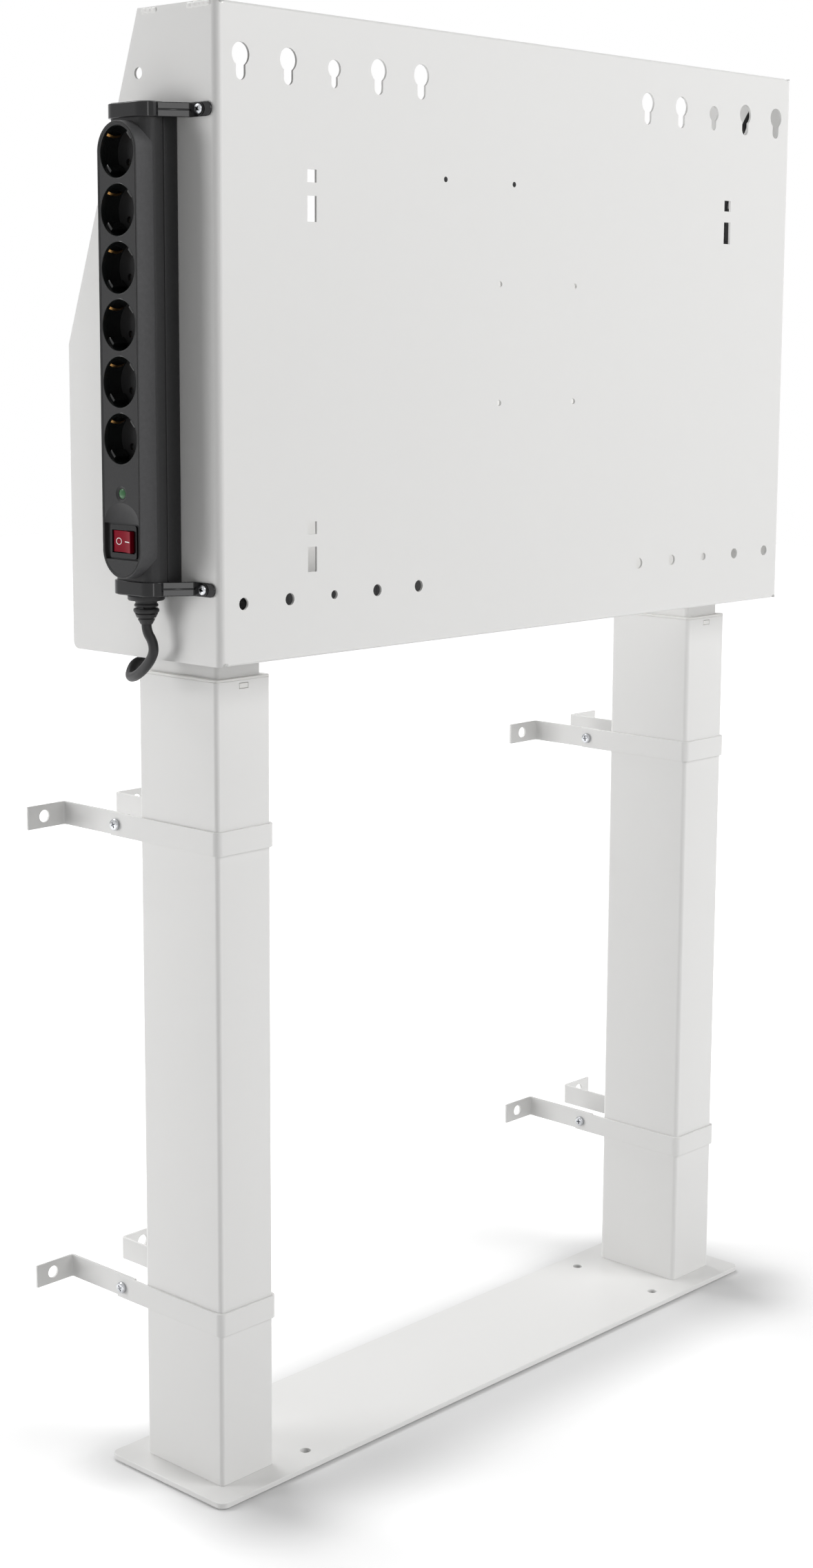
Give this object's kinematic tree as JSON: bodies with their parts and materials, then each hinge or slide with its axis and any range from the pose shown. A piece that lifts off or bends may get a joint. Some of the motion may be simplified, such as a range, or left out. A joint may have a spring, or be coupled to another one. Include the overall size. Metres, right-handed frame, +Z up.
{
  "type": "motorized tv stand",
  "caption": "Motorized stand that lifts a flat screen: two telescopic columns on a floor plate carry a folded steel box with keyholes and a socket strip on its side.",
  "frame": {"origin": "middle of the base plate's underside, at the centre of its four floor holes", "axes": "+Z up, +X to the right seen from the front, +Y to the wall; the screen hangs on the -Y side"},
  "size_m": [0.7996, 0.2355, 1.205],
  "materials": {
    "white_powder_coat": "satin white powder coat",
    "zinc": "bright zinc plate",
    "bare_steel": "bare steel",
    "bronze": "plain bronze",
    "brass": "plain brass",
    "glide_plastic": "moulded glide plastic",
    "gear_housing": "black painted die casting",
    "black_plastic": "satin moulded plastic",
    "black_gloss": "gloss moulded plastic",
    "black_steel": "black oxide",
    "rubber": "soft cable jacket",
    "red_clear": "red translucent plastic",
    "green_lens": "green lens"
  },
  "bodies": {
    "stand": {"base_plate": "white_powder_coat", "base_screws": "zinc", "column_outer_left": "white_powder_coat", "column_foot_left": "bare_steel", "stand_tube_left": "bare_steel", "spindle_nut_left": "bronze", "glide_collar_left": "glide_plastic", "wall_strap_left_lower": "white_powder_coat", "wall_arms_left_lower": "white_powder_coat", "wall_strap_left_upper": "white_powder_coat", "wall_arms_left_upper": "white_powder_coat", "column_outer_right": "white_powder_coat", "column_foot_right": "bare_steel", "stand_tube_right": "bare_steel", "spindle_nut_right": "bronze", "glide_collar_right": "glide_plastic", "wall_strap_right_lower": "white_powder_coat", "wall_arms_right_lower": "white_powder_coat", "wall_strap_right_upper": "white_powder_coat", "wall_arms_right_upper": "white_powder_coat", "bracket_screws": "zinc", "bracket_nuts": "zinc"},
    "lift": {"column_inner_left": "white_powder_coat", "glide_shoe_left": "glide_plastic", "head_plate_left": "bare_steel", "spindle_bearing_left": "bare_steel", "gear_motor_left": "gear_housing", "spacer_left": "white_powder_coat", "motor_lead_left": "rubber", "column_inner_right": "white_powder_coat", "glide_shoe_right": "glide_plastic", "head_plate_right": "bare_steel", "spindle_bearing_right": "bare_steel", "gear_motor_right": "gear_housing", "spacer_right": "white_powder_coat", "motor_lead_right": "rubber", "mounting_box": "white_powder_coat", "cross_panel": "white_powder_coat", "column_screws": "zinc", "column_nuts": "zinc", "control_box": "black_plastic", "control_box_screws": "black_steel", "power_supply": "black_plastic", "remote_receiver": "black_gloss", "receiver_lead": "rubber", "strip_base": "black_plastic", "strip_cover": "black_plastic", "live_bar": "brass", "neutral_bar": "brass", "earth_clips": "brass", "switch_frame": "black_gloss", "pilot_light": "green_lens", "strain_relief": "black_plastic", "strip_cord": "rubber", "cable_saddle_lower": "black_plastic", "cable_saddle_upper": "black_plastic", "saddle_screws": "zinc"},
    "spindle_left": {"spindle_left": "bare_steel"},
    "spindle_right": {"spindle_right": "bare_steel"},
    "rocker": {"switch_rocker": "red_clear"}
  },
  "joints": [
    {"name": "lift_slide", "type": "slide", "parent": "stand", "child": "lift", "axis": [0, 0, 1], "range_m": [0, 0.5]},
    {"name": "spindle_left_spin", "type": "hinge", "parent": "lift", "child": "spindle_left", "pos_m": [-0.313, 0, 1], "axis": [0, 0, 1], "range_deg": [0, 18000]},
    {"name": "spindle_right_spin", "type": "hinge", "parent": "lift", "child": "spindle_right", "pos_m": [0.313, 0, 1], "axis": [0, 0, 1], "range_deg": [0, 18000]},
    {"name": "rocker_tilt", "type": "hinge", "parent": "lift", "child": "rocker", "pos_m": [-0.411, -0.021, 0.801], "axis": [0, 0, 1], "range_deg": [0, 20]}
  ],
  "couplings": [
    {"joint": "spindle_left_spin", "follows": "lift_slide", "rad_per_m": 628.32},
    {"joint": "spindle_right_spin", "follows": "lift_slide", "rad_per_m": 628.32}
  ]
}
